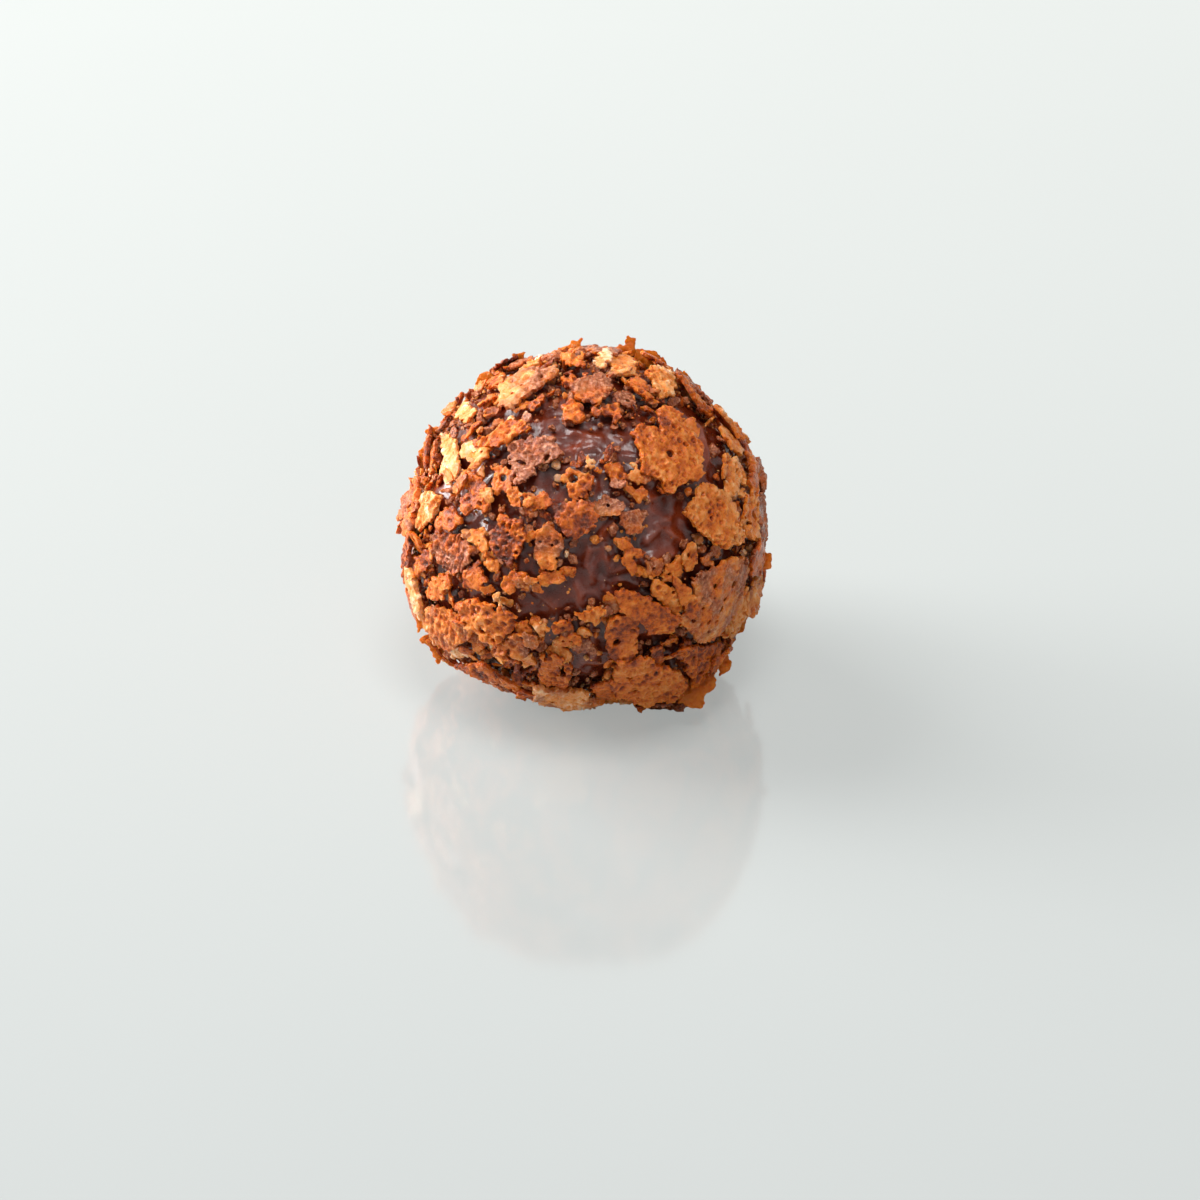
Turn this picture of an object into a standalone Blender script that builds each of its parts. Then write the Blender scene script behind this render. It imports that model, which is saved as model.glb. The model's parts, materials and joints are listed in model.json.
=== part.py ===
"""A chocolate truffle rolled in crushed wafer flakes, modelled as one solid.

Metres, +Z up. The origin is at the middle of the small flat spot that the
truffle rests on. The front of the truffle faces -Y.

The body is a hand-rolled, slightly lumpy ball. The largest flakes of the coat
are thin crooked plates, pressed into the chocolate and fused with it, so that
the solid reaches out to the uneven outline of the real sweet.
"""

import math
import random

import bmesh
import bpy
from mathutils import Matrix, Vector, noise

MM = 0.001

# The chocolate ball.
BALL_RADIUS = 14.5 * MM
BALL_CENTRE_HEIGHT = 14.1 * MM  # the foot is pressed flat, so this is less than the outer radius
BALL_SUBDIVISIONS = 4
LUMP_HEIGHT = 0.55 * MM
LUMP_SIZE = 5.0 * MM
RIPPLE_HEIGHT = 0.12 * MM
RIPPLE_SIZE = 1.8 * MM

# A soft sweet sags: it spreads to two low corners, and is slimmer at its shoulders. Each entry is
# the angle round the show side's outline, the height in mm, and the half width, in degrees.
SWELLINGS = [
    (220, 1.25, 20), (302, 1.70, 16), (200, 0.30, 14), (330, 0.25, 12),
    (46, -0.85, 18), (102, -0.50, 20), (4, -0.70, 12), (262, -0.30, 16), (172, -0.30, 12),
]

# The flakes.
FLAKE_CORNERS = 9
FLAKE_ROOT = 0.9 * MM  # how deep a flake's underside sits in the ball
FLAKE_LIFT = 0.55 * MM  # how far its upper face stands out of the ball
FLAKE_RUFFLE = 0.14 * MM
FLAKE_TILT = 0.26 * MM  # one edge stands this much higher, the opposite edge lower
OUTLINE_UNEVENNESS = 0.20  # how far a corner strays in or out, as a share of its reach
CORNER_DRIFT = 0.25  # how far a corner strays round the outline, as a share of a step
MIDDLE_RING = 0.55  # where the ring of points between a flake's middle and its edge lies

# The show side leans up towards the viewer by this much. Its own three directions follow.
SHOW_SIDE_RISE = math.radians(35)
ACROSS = Vector((1.0, 0.0, 0.0))
UPWARD = Vector((0.0, math.sin(SHOW_SIDE_RISE), math.cos(SHOW_SIDE_RISE)))
OUTWARD = Vector((0.0, -math.cos(SHOW_SIDE_RISE), math.sin(SHOW_SIDE_RISE)))

# The large flakes of the show side, in mm from the middle of that side:
# right, up, length, width, and the turn of the length in degrees.
SHOW_FLAKES = [
    (6.6, 6.0, 6.8, 5.0, -60),
    (10.2, 0.9, 5.8, 4.2, -50),
    (-12.6, 5.2, 5.6, 2.6, 100),
    (-5.0, 11.0, 4.8, 3.2, 40),
    (-6.8, 7.0, 5.0, 2.2, 8),
    (-4.0, 5.1, 4.2, 3.2, 20),
    (-8.9, 2.6, 3.6, 2.6, -60),
    (-0.9, 0.4, 3.6, 2.9, -20),
    (-0.7, 3.1, 2.9, 2.4, 60),
    (0.4, 10.7, 4.0, 2.5, -10),
    (2.9, 13.2, 3.0, 2.2, -30),
    (6.1, 12.3, 3.6, 3.0, -25),
    (9.2, 10.6, 4.6, 2.0, -42),
    (12.6, 6.2, 5.2, 2.8, -62),
    (10.2, -6.0, 6.8, 4.6, -50),
    (12.6, -7.2, 4.2, 2.6, -70),
    (4.9, -7.0, 5.4, 3.0, -24),
    (2.9, -9.2, 4.2, 2.8, 80),
    (4.8, -12.2, 5.6, 3.4, 0),
    (-7.9, -7.6, 5.4, 3.2, -18),
    (-11.6, -8.0, 5.0, 3.2, -20),
    (-5.6, -9.8, 3.8, 2.6, 20),
    (-6.3, -1.4, 3.6, 3.2, 70),
    (-3.1, -1.9, 4.0, 2.4, 75),
    (-7.6, -12.0, 5.6, 2.4, -34),
    (-10.9, -2.3, 3.6, 3.2, 10),
    (8.6, -11.9, 4.6, 3.8, -30),
    (-12.6, 1.0, 3.4, 2.4, 80),
    (12.6, 2.2, 4.4, 2.6, 80),
    (-2.2, -12.4, 3.6, 2.8, 0),
]

# Round the sides and the back, flakes follow one long spiral.
SPIRAL_FLAKES = 108
SPIRAL_LENGTHS = (3.4 * MM, 6.2 * MM)
SPIRAL_SLENDERNESS = (0.50, 0.75)
CLEAR_OF_SHOW_SIDE = math.cos(math.radians(74))
SEED = 11

# The block that presses the foot flat.
CUTTER_DEPTH = 4.0 * MM
CUTTER_SPAN = 3.0 * BALL_RADIUS

WAFER_COLOUR = (0.56, 0.25, 0.08, 1.0)
WAFER_ROUGHNESS = 0.60
CHOCOLATE_COLOUR = (0.16, 0.045, 0.018, 1.0)
CHOCOLATE_ROUGHNESS = 0.35


def clear_scene():
    for thing in list(bpy.data.objects):
        bpy.data.objects.remove(thing, do_unlink=True)


def new_collection(name):
    collection = bpy.data.collections.new(name)
    bpy.context.scene.collection.children.link(collection)
    return collection


def new_material(name, colour, roughness):
    material = bpy.data.materials.new(name)
    material.use_nodes = True
    shader = material.node_tree.nodes["Principled BSDF"]
    shader.inputs["Base Color"].default_value = colour
    shader.inputs["Roughness"].default_value = roughness
    shader.inputs["Metallic"].default_value = 0.0
    return material


def new_object(name, shape, material, collection):
    """Turns a bmesh into an object of its own."""
    mesh = bpy.data.meshes.new(name)
    shape.to_mesh(mesh)
    shape.free()
    mesh.materials.append(material)
    made = bpy.data.objects.new(name, mesh)
    collection.objects.link(made)
    return made


def hide_helper(helper):
    """Keeps a helper out of the finished model."""
    helper.hide_render = True
    helper.display_type = "WIRE"


def swelling(direction):
    """How far the surface lies outside the plain ball in this direction."""
    total = 0.0
    for around, height, spread in SWELLINGS:
        middle = ACROSS * math.cos(math.radians(around)) + UPWARD * math.sin(math.radians(around))
        away = math.degrees(direction.angle(middle))
        total += height * MM * math.exp(-((away / spread) ** 2))
    return total


def ball_surface(direction):
    """The distance from the ball's centre to its lumpy surface."""
    lumps = noise.noise(direction * (BALL_RADIUS / LUMP_SIZE))
    ripples = noise.noise(direction * (BALL_RADIUS / RIPPLE_SIZE))
    unevenness = LUMP_HEIGHT * lumps + RIPPLE_HEIGHT * ripples
    return BALL_RADIUS + swelling(direction) + unevenness


def make_ball(material, collection):
    shape = bmesh.new()
    bmesh.ops.create_icosphere(shape, subdivisions=BALL_SUBDIVISIONS, radius=BALL_RADIUS)
    for point in shape.verts:
        direction = point.co.normalized()
        point.co = direction * ball_surface(direction)
    ball = new_object("truffle", shape, material, collection)
    ball.location.z = BALL_CENTRE_HEIGHT
    return ball


def show_side_direction(right, up):
    """The direction, from the ball's centre, of a place seen on the show side."""
    reach = BALL_RADIUS + FLAKE_LIFT
    depth = math.sqrt(max(0.0, reach**2 - right**2 - up**2))
    return (ACROSS * right + UPWARD * up + OUTWARD * depth).normalized()


def make_flake(name, direction, length, width, turn, chance, material, collection):
    """One crooked plate that follows the ball, with its underside sunk in it."""
    side = Vector((1.0, 0.0, 0.0)) - direction * direction.x
    side = (Matrix.Rotation(turn, 3, direction) @ side).normalized()
    rise = direction.cross(side)
    leaning = chance.uniform(0.0, 2.0 * math.pi)
    corners = []
    for number in range(FLAKE_CORNERS):
        angle = 2.0 * math.pi * (number + chance.uniform(-CORNER_DRIFT, CORNER_DRIFT)) / FLAKE_CORNERS
        reach = 0.5 * (1.0 + chance.uniform(-1.0, 1.0) * OUTLINE_UNEVENNESS)
        corners.append(Vector((length * reach * math.cos(angle), width * reach * math.sin(angle))))

    def placed(flat, height):
        towards = (direction * BALL_RADIUS + side * flat.x + rise * flat.y).normalized()
        return towards * (ball_surface(towards) + height)

    def upper(flat):
        lean = (flat.x * math.cos(leaning) + flat.y * math.sin(leaning)) / (0.5 * length)
        ruffle = chance.uniform(-1.0, 1.0) * FLAKE_RUFFLE
        return placed(flat, FLAKE_LIFT + FLAKE_TILT * lean + ruffle)

    shape = bmesh.new()
    edge_above = [shape.verts.new(upper(corner)) for corner in corners]
    ring_above = [shape.verts.new(upper(corner * MIDDLE_RING)) for corner in corners]
    edge_below = [shape.verts.new(placed(corner, -FLAKE_ROOT)) for corner in corners]
    middle_above = shape.verts.new(upper(Vector((0.0, 0.0))))
    middle_below = shape.verts.new(placed(Vector((0.0, 0.0)), -FLAKE_ROOT))
    for here in range(FLAKE_CORNERS):
        there = (here + 1) % FLAKE_CORNERS
        shape.faces.new((middle_above, ring_above[here], ring_above[there]))
        shape.faces.new((ring_above[here], edge_above[here], edge_above[there], ring_above[there]))
        shape.faces.new((edge_above[here], edge_below[here], edge_below[there], edge_above[there]))
        shape.faces.new((middle_below, edge_below[there], edge_below[here]))
    bmesh.ops.triangulate(shape, faces=shape.faces[:])
    bmesh.ops.recalc_face_normals(shape, faces=shape.faces[:])
    flake = new_object(name, shape, material, collection)
    flake.location.z = BALL_CENTRE_HEIGHT
    hide_helper(flake)
    return flake


def make_show_flakes(chance, material, collection):
    for number, (right, up, length, width, turn) in enumerate(SHOW_FLAKES):
        direction = show_side_direction(right * MM, up * MM)
        make_flake(
            f"show_flake_{number:02d}", direction, length * MM, width * MM,
            math.radians(turn), chance, material, collection,
        )


def make_spiral_flakes(chance, material, collection):
    """Flakes at even steps along a spiral from the top to the foot, clear of the show side."""
    middle_of_show_side = show_side_direction(0.0, 0.0)
    golden_turn = math.pi * (3.0 - math.sqrt(5.0))
    for number in range(SPIRAL_FLAKES):
        height = 1.0 - 2.0 * (number + 0.5) / SPIRAL_FLAKES
        around = math.sqrt(1.0 - height**2)
        angle = number * golden_turn
        direction = Vector((around * math.cos(angle), around * math.sin(angle), height))
        length = chance.uniform(*SPIRAL_LENGTHS)
        width = length * chance.uniform(*SPIRAL_SLENDERNESS)
        turn = chance.uniform(0.0, math.pi)
        if direction.dot(middle_of_show_side) < CLEAR_OF_SHOW_SIDE:
            make_flake(
                f"spiral_flake_{number:02d}", direction, length, width,
                turn, chance, material, collection,
            )


def make_foot_cutter(material, collection):
    """A block whose top face is the ground, which takes off what would lie under it."""
    shape = bmesh.new()
    bmesh.ops.create_cube(shape, size=1.0)
    block = (CUTTER_SPAN, CUTTER_SPAN, CUTTER_DEPTH)
    bmesh.ops.scale(shape, vec=block, verts=shape.verts[:])
    cutter = new_object("foot_cutter", shape, material, collection)
    cutter.location.z = -0.5 * CUTTER_DEPTH
    hide_helper(cutter)
    return cutter


def main():
    clear_scene()
    truffle_parts = new_collection("chocolate_truffle")
    flake_plates = new_collection("flake_plates")
    cutters = new_collection("cutters")
    chocolate = new_material("milk_chocolate", CHOCOLATE_COLOUR, CHOCOLATE_ROUGHNESS)
    wafer = new_material("wafer_flakes", WAFER_COLOUR, WAFER_ROUGHNESS)
    chance = random.Random(SEED)

    ball = make_ball(chocolate, truffle_parts)
    make_show_flakes(chance, wafer, flake_plates)
    make_spiral_flakes(chance, wafer, flake_plates)
    foot_cutter = make_foot_cutter(chocolate, cutters)

    fuse = ball.modifiers.new("fuse_flakes", "BOOLEAN")
    fuse.operation = "UNION"
    fuse.solver = "EXACT"
    fuse.operand_type = "COLLECTION"
    fuse.collection = flake_plates
    fuse.material_mode = "TRANSFER"

    flatten = ball.modifiers.new("flatten_foot", "BOOLEAN")
    flatten.operation = "DIFFERENCE"
    flatten.solver = "EXACT"
    flatten.object = foot_cutter
    flatten.material_mode = "TRANSFER"


main()
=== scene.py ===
# %% [markdown]
# # A chocolate truffle rolled in crushed wafer flakes
#
# The sweet is a soft ball dipped in milk chocolate and rolled in crushed crisp wafer while the
# chocolate is still wet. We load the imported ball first, because it fixes the size and the place
# of everything: each flake below is measured from it.

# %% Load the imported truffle
import json
import math

import bpy
import numpy as np
from mathutils import Matrix, Vector

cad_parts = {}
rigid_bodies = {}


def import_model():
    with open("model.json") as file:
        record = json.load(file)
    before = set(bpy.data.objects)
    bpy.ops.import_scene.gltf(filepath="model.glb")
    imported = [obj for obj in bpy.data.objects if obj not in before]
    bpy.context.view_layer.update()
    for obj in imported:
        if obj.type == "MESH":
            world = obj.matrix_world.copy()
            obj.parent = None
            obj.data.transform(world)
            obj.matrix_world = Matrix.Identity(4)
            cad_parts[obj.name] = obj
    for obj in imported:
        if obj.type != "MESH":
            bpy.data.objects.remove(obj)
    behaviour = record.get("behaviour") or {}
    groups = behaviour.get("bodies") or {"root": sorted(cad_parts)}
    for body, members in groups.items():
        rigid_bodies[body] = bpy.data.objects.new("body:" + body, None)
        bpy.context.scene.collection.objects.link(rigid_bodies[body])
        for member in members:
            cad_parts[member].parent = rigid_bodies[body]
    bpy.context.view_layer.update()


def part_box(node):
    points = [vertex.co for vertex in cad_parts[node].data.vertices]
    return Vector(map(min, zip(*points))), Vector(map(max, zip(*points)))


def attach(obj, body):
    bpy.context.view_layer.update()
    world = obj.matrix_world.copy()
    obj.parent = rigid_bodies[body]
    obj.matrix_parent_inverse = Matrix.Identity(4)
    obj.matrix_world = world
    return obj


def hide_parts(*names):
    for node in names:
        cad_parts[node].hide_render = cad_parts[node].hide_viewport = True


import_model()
low, high = (np.array(corner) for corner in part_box("truffle"))
print("packed truffle, mm:", np.round((high - low) * 1000, 2))

# %% [markdown]
# ## Sizes and directions
#
# Lengths are in millimetres until the last moment, because wafer flakes are a few tenths of a
# millimetre thick and such numbers are easier to read. The coat stands about 1.3 mm out of the
# chocolate. The show side leans up by 35 degrees, and `right`, `up` and `out` are its three
# directions, so a place on it can be given as "so far right, so far up" from its middle.

# %% Named sizes
MM = 0.001
OUTER_RADIUS = 0.25 * (high[0] - low[0] + high[1] - low[1]) / MM
CHOCOLATE_RADIUS = OUTER_RADIUS - 1.30
COAT_RADIUS = OUTER_RADIUS - 0.60
CENTRE = np.array([0.0, 0.0, high[2] / MM - OUTER_RADIUS + 0.25])
SHOW_RISE = math.radians(35)
RIGHT = np.array([1.0, 0.0, 0.0])
UP = np.array([0.0, math.sin(SHOW_RISE), math.cos(SHOW_RISE)])
OUT = np.array([0.0, -math.cos(SHOW_RISE), math.sin(SHOW_RISE)])
chance = np.random.default_rng(2718)
print("chocolate radius, mm:", round(CHOCOLATE_RADIUS, 2), "centre height, mm:", round(CENTRE[2], 2))

# %% [markdown]
# ## Smooth unevenness
#
# Nothing on a sweet made by hand is even. `drift` gives a number from -1 to 1 that changes
# smoothly with place, from a small cube of random numbers that is read between its points. Adding
# it at several sizes gives lumps, ripples and rough grain. It is written with numpy, because one
# call then serves every point of a mesh at once.

# %% Unevenness
LATTICE = chance.random((32, 32, 32)) * 2 - 1


def drift(points, size, shift=0.0):
    """Smooth values from -1 to 1 at the given points (mm), changing over about `size` mm."""
    place = np.asarray(points) / size + 64.0 + shift
    cell = np.floor(place).astype(int)
    blend = place - cell
    blend = blend * blend * (3 - 2 * blend)
    total = np.zeros(len(place))
    for corner in range(8):
        step = np.array([corner & 1, corner >> 1 & 1, corner >> 2 & 1])
        weight = np.prod(np.where(step == 1, blend, 1 - blend), axis=1)
        i, j, k = ((cell + step) & 31).T
        total += weight * LATTICE[i, j, k]
    return total


def on_show_side(right, up, radius=COAT_RADIUS):
    """The direction from the centre to a place seen on the show side, `right` and `up` in mm."""
    reach = math.hypot(right, up)
    if reach > 0.995 * radius:
        right, up = right * 0.995 * radius / reach, up * 0.995 * radius / reach
    depth = math.sqrt(radius**2 - right**2 - up**2)
    towards = RIGHT * right + UP * up + OUT * depth
    return towards / np.linalg.norm(towards)


def tangents(direction):
    """Two directions that lie flat on the ball at `direction`: one level, one rising."""
    level = np.cross([0.0, 0.0, 1.0], direction)
    if np.linalg.norm(level) < 0.1:
        level = np.array([1.0, 0.0, 0.0]) - direction * direction[0]
    level = level / np.linalg.norm(level)
    return level, np.cross(direction, level)


print("unevenness from", LATTICE.size, "random numbers")

# %% [markdown]
# ## The shape of the ball
#
# A soft sweet sags: it spreads into two low corners at the lower left and lower right, and is
# slimmer at its shoulders. Each entry below is the angle of a swelling or a hollow as seen on the
# show side, its height, and its half width in degrees. Both the chocolate and the coat follow it.

# %% Swellings and hollows
SWELLINGS = [
    (220, 1.25, 20), (302, 1.70, 16), (200, 0.30, 14), (330, 0.25, 12),
    (46, -0.85, 18), (102, -0.50, 20), (4, -0.70, 12), (262, -0.30, 16), (172, -0.30, 12),
]


def swelling(towards):
    """How far the ball's surface lies outside the plain sphere, in mm, in each direction."""
    total = np.zeros(len(towards))
    for angle, height, spread in SWELLINGS:
        middle = RIGHT * math.cos(math.radians(angle)) + UP * math.sin(math.radians(angle))
        away = np.degrees(np.arccos(np.clip(towards @ middle, -1, 1)))
        total += height * np.exp(-((away / spread) ** 2))
    return total


print("swellings and hollows:", len(SWELLINGS))

# %% [markdown]
# ## How one wafer flake is made
#
# A crushed wafer is a thin baked sheet, 0.3 to 0.5 mm thick, broken along crooked edges, with
# round bubbles and pores from the baking. A box with noise on it wouldn't give broken edges, so
# the flake starts as a grid of small squares laid over its outline. `inside` says how far each
# grid point lies from the broken edge. Squares outside are dropped, and the points on the border
# are slid onto the edge itself, so that the outline is crisp and not stepped.

# %% The flat grid of a flake
def inside_outline(points, corners):
    """How far inside the polygon each point lies, in mm; negative outside."""
    nearest = np.full(len(points), 1e9)
    within = np.zeros(len(points), bool)
    for here, there in zip(corners, np.roll(corners, -1, axis=0)):
        edge = there - here
        along = np.clip((points - here) @ edge / (edge @ edge), 0, 1)
        nearest = np.minimum(nearest, np.linalg.norm(points - here - along[:, None] * edge, axis=1))
        crosses = (here[1] > points[:, 1]) != (there[1] > points[:, 1])
        slope = (there[0] - here[0]) / (there[1] - here[1] + 1e-9)
        within ^= crosses & (points[:, 0] < (points[:, 1] - here[1]) * slope + here[0])
    return np.where(within, nearest, -nearest)


def flat_grid(corners, pores, spacing, jag, salt, lacy):
    """Grid points on the flake, how far each is from the edge, and the squares between them."""
    low_corner = corners.min(axis=0) - 2.5 * spacing
    counts = np.ceil((corners.max(axis=0) - low_corner) / spacing).astype(int) + 3
    across, along = np.meshgrid(np.arange(counts[0]), np.arange(counts[1]), indexing="ij")
    points = low_corner + spacing * np.stack([across.ravel(), along.ravel()], axis=1)
    seeded = np.column_stack([points, np.full(len(points), salt)])
    depth = inside_outline(points, corners)
    teeth = drift(seeded, 0.90) + 0.95 * drift(seeded, 0.40, 7.0) + 0.9 * drift(seeded, 0.22, 8.0)
    depth += jag * teeth
    if lacy:
        depth = np.minimum(depth, 0.7 * (0.50 - drift(seeded, 0.62, 13.0)))
    for right, up, radius in pores:
        wobble = 0.25 * radius * drift(seeded, 0.5, 3.0)
        depth = np.minimum(depth, np.hypot(points[:, 0] - right, points[:, 1] - up) - radius + wobble)
    field = depth.reshape(counts)
    middle = 0.25 * (field[:-1, :-1] + field[1:, :-1] + field[:-1, 1:] + field[1:, 1:])
    keep = middle > 0
    for _ in range(3):  # two squares that meet only at a corner get one more between them
        falling = keep[:-1, :-1] & keep[1:, 1:] & ~keep[1:, :-1] & ~keep[:-1, 1:]
        rising = ~keep[:-1, :-1] & ~keep[1:, 1:] & keep[1:, :-1] & keep[:-1, 1:]
        keep[1:, :-1] |= falling
        keep[:-1, :-1] |= rising
    slope = np.stack(np.gradient(field, spacing), axis=-1).reshape(-1, 2)
    number = np.arange(counts[0] * counts[1]).reshape(counts)
    squares = np.stack(
        [number[:-1, :-1], number[1:, :-1], number[1:, 1:], number[:-1, 1:]], axis=-1
    )[keep]
    return points, depth, slope, squares


# %% [markdown]
# The grid then gets a front, a back and a broken side. A row of points half way up the side lets
# it bulge a little, as a broken crust does. Bubbles push the front up in low domes with a sunken
# middle, and grain and wrinkles come from `drift`. Two numbers stay with each point for the
# finish: `tone`, from dark baked to pale, with painted shade where the front is sunken and painted
# light where it is raised, and `coat`, how much chocolate clings there.

# %% A flake with thickness and relief
def bubble_relief(points, corners, per_mm2, radii, depth, dice):
    """Low round bubbles with raised rims, as a height to add to the front."""
    span = corners.max(axis=0) - corners.min(axis=0)
    count = int(per_mm2 * span[0] * span[1]) + 1
    centres = corners.min(axis=0) + dice.random((count, 2)) * span
    sizes = dice.uniform(radii[0], radii[1], count)
    signs = np.where(dice.random(count) < 0.6, -1.0, 0.8)
    height = np.zeros(len(points))
    for centre, size, sign in zip(centres, sizes, signs):
        away = np.hypot(points[:, 0] - centre[0], points[:, 1] - centre[1]) / size
        bowl = np.clip(1 - away**2, 0, 1)
        rim = np.exp(-(((away - 1.15) / 0.28) ** 2))
        height += depth * (size / radii[1]) * (sign * bowl + 0.45 * rim)
    return height


def sheet_of_wafer(corners, pores, thickness, spacing, relief, dice, jag):
    """Points (across, along, height), squares, and how sunken each point is, which is painted into the
    colour as shade, for one flat flake.
    """
    salt = dice.uniform(0, 30)
    points, depth, slope, squares = flat_grid(corners, pores, spacing, jag, salt, relief["lacy"])
    if len(squares) < 3:
        return None
    used, squares = np.unique(squares, return_inverse=True)
    squares = squares.reshape(-1, 4)
    points, depth, slope = points[used], depth[used], slope[used]
    ends = np.concatenate([squares[:, [side, (side + 1) % 4]] for side in range(4)])
    size = len(points)
    forward = ends[:, 0] * size + ends[:, 1]
    backward = ends[:, 1] * size + ends[:, 0]
    border = ends[~np.isin(forward, backward)]
    rim = np.unique(border)
    steep = np.maximum((slope[rim] ** 2).sum(axis=1), 0.3)
    slide = -depth[rim, None] * slope[rim] / steep[:, None]
    length = np.maximum(np.linalg.norm(slide, axis=1), 1e-9)
    slide *= np.minimum(1, 0.62 * spacing / length)[:, None]
    points = points.copy()
    points[rim] += slide
    depth = np.maximum(depth, 0)
    depth[rim] = 0
    seeded = np.column_stack([points, np.full(size, salt)])
    rounding = np.clip(depth / 0.16, 0, 1)
    half = 0.5 * thickness * (0.78 + 0.22 * np.sqrt(rounding * (2 - rounding)))
    half *= 1 + 0.22 * drift(seeded, 1.1, 11.0)
    front = half.copy()
    front += bubble_relief(points, corners, *relief["bubbles"], dice)
    front += relief["grain"] * (drift(seeded, 0.34, 5.0) + 0.6 * drift(seeded, 0.17, 6.0))
    streaks = np.column_stack([points[:, 0] * relief["stretch"], points[:, 1], np.full(size, salt)])
    front += relief["wrinkle"] * drift(streaks, 0.55, 9.0)
    back = -half + 0.06 * drift(seeded, 0.5, 15.0)
    front = np.maximum(front, back + 0.10)
    bend = relief["ruffle"] * drift(seeded, 2.3, 21.0)
    middle = 0.5 * (front + back) + 0.04 * drift(seeded, 0.22, 25.0)
    bulge = points.copy()
    outward = -slope / np.maximum(np.linalg.norm(slope, axis=1), 0.3)[:, None]
    bulge += outward * (0.02 + 0.07 * drift(seeded, 0.25, 31.0))[:, None]
    place = np.full(size, -1)
    place[rim] = 2 * size + np.arange(len(rim))
    everything = np.concatenate([
        np.column_stack([points, front + bend]),
        np.column_stack([points, back + bend]),
        np.column_stack([bulge[rim], (middle + bend)[rim]]),
    ])
    a, b = border.T
    faces = np.concatenate([
        squares,
        squares[:, ::-1] + size,
        np.column_stack([b, a, place[a], place[b]]),
        np.column_stack([place[b], place[a], a + size, b + size]),
    ])
    # How sunken each point is, kept as painted shade: low parts of the front are painted darker and
    # raised bubble rims paler, the back and the broken side a little darker.
    painted_relief_shade = np.concatenate([front - half, np.full(size, -0.05), np.full(len(rim), -0.03)])
    return everything, faces, painted_relief_shade


# %% [markdown]
# ## Laying flakes on the ball
#
# A flat plate can't lie on a ball, so each flake is bent to the ball's curve as it is placed, as a
# wafer still warm would be: its flat position becomes a direction, and its height a distance from
# the centre. `lean` lifts one side of it, and `curl` lifts its ends. Flakes of one kind are
# collected in one mesh, which keeps the number of pieces small.

# %% Placing flakes and collecting them by kind
SMOOTH = {"bubbles": (2.0, (0.12, 0.32), 0.12), "grain": 0.040, "wrinkle": 0.10,
          "stretch": 1.0, "ruffle": 0.16, "lacy": False}
BUBBLY = {"bubbles": (3.4, (0.14, 0.38), 0.19), "grain": 0.045, "wrinkle": 0.12,
          "stretch": 1.0, "ruffle": 0.26, "lacy": True}
GRAINY = {"bubbles": (4.6, (0.13, 0.28), 0.16), "grain": 0.050, "wrinkle": 0.12,
          "stretch": 1.0, "ruffle": 0.16, "lacy": False}
WRINKLED = {"bubbles": (1.6, (0.12, 0.30), 0.14), "grain": 0.050, "wrinkle": 0.22,
            "stretch": 3.0, "ruffle": 0.26, "lacy": False}
TONE_DRIFT = 0.10  # how much the baking differs over a flake
RIM_REACH = 1.035  # how much further out the standing flakes of the outline reach
heaps = {}
footprints = []


def add_to_heap(kind, points, faces, tones, coats):
    heap = heaps.setdefault(kind, {"points": [], "faces": [], "tone": [], "coat": [], "size": 0})
    heap["points"].append(points)
    heap["faces"].append(faces + heap["size"])
    heap["tone"].append(tones)
    heap["coat"].append(coats)
    heap["size"] += len(points)


def lay_flake(kind, direction, corners, lift, tone, coat=0.1, lean=(0.0, 0.0), curl=0.0,
              thickness=0.32, pores=(), relief=SMOOTH, spacing=0.10, jag=0.20, dice=chance):
    """Makes one flake, bends it to the ball and adds it to its kind's heap."""
    made = sheet_of_wafer(corners, pores, thickness, spacing, relief, dice, jag)
    if made is None:
        return
    flat, faces, painted_relief_shade = made
    middle = flat[:, :2].mean(axis=0)
    away = flat[:, :2] - middle
    height = flat[:, 2] + 1.5 * lift + 0.24 + away @ np.array(lean)
    height += curl * (away**2).sum(axis=1)
    level, rise = tangents(direction)
    towards = direction * COAT_RADIUS + np.outer(flat[:, 0], level) + np.outer(flat[:, 1], rise)
    towards /= np.linalg.norm(towards, axis=1)[:, None]
    points = CENTRE + towards * (CHOCOLATE_RADIUS + swelling(towards) + height)[:, None]
    points[:, 2] = np.maximum(points[:, 2], 0.02 + 0.03 * drift(points, 0.4) ** 2)
    # Painted shade: how sunken each point is goes into the tone, so pits are painted darker and raised
    # rims paler.
    tones = tone + TONE_DRIFT * drift(points, 1.3, 41.0) + np.clip(painted_relief_shade, -0.20, 0.14)
    coats = coat + 0.30 * drift(points, 1.0, 43.0) + 0.25 * np.clip(0.25 - height, -0.4, 0.6)
    add_to_heap(kind, points, faces, tones, coats)
    centre = direction * COAT_RADIUS + level * middle[0] + rise * middle[1]
    reach = np.linalg.norm(corners - corners.mean(axis=0), axis=1)
    footprints.append((centre / np.linalg.norm(centre), 0.5 * (reach.min() + reach.mean()), lift))


def show_flake(kind, tone, lift, corners, pores=(), **how):
    """A flake of the show side: its corners are (right, up) as it is seen from the front."""
    corners = np.array(corners, float)
    direction = on_show_side(*corners.mean(axis=0))
    level, rise = tangents(direction)

    def flattened(right, up):
        towards = on_show_side(right, up)
        flat = towards * COAT_RADIUS / (towards @ direction)
        return flat @ level, flat @ rise

    flat_corners = np.array([flattened(*corner) for corner in corners])
    flat_pores = [(*flattened(right, up), radius) for right, up, radius in pores]
    lay_flake(kind, direction, flat_corners, lift, tone, pores=flat_pores, **how)


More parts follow.
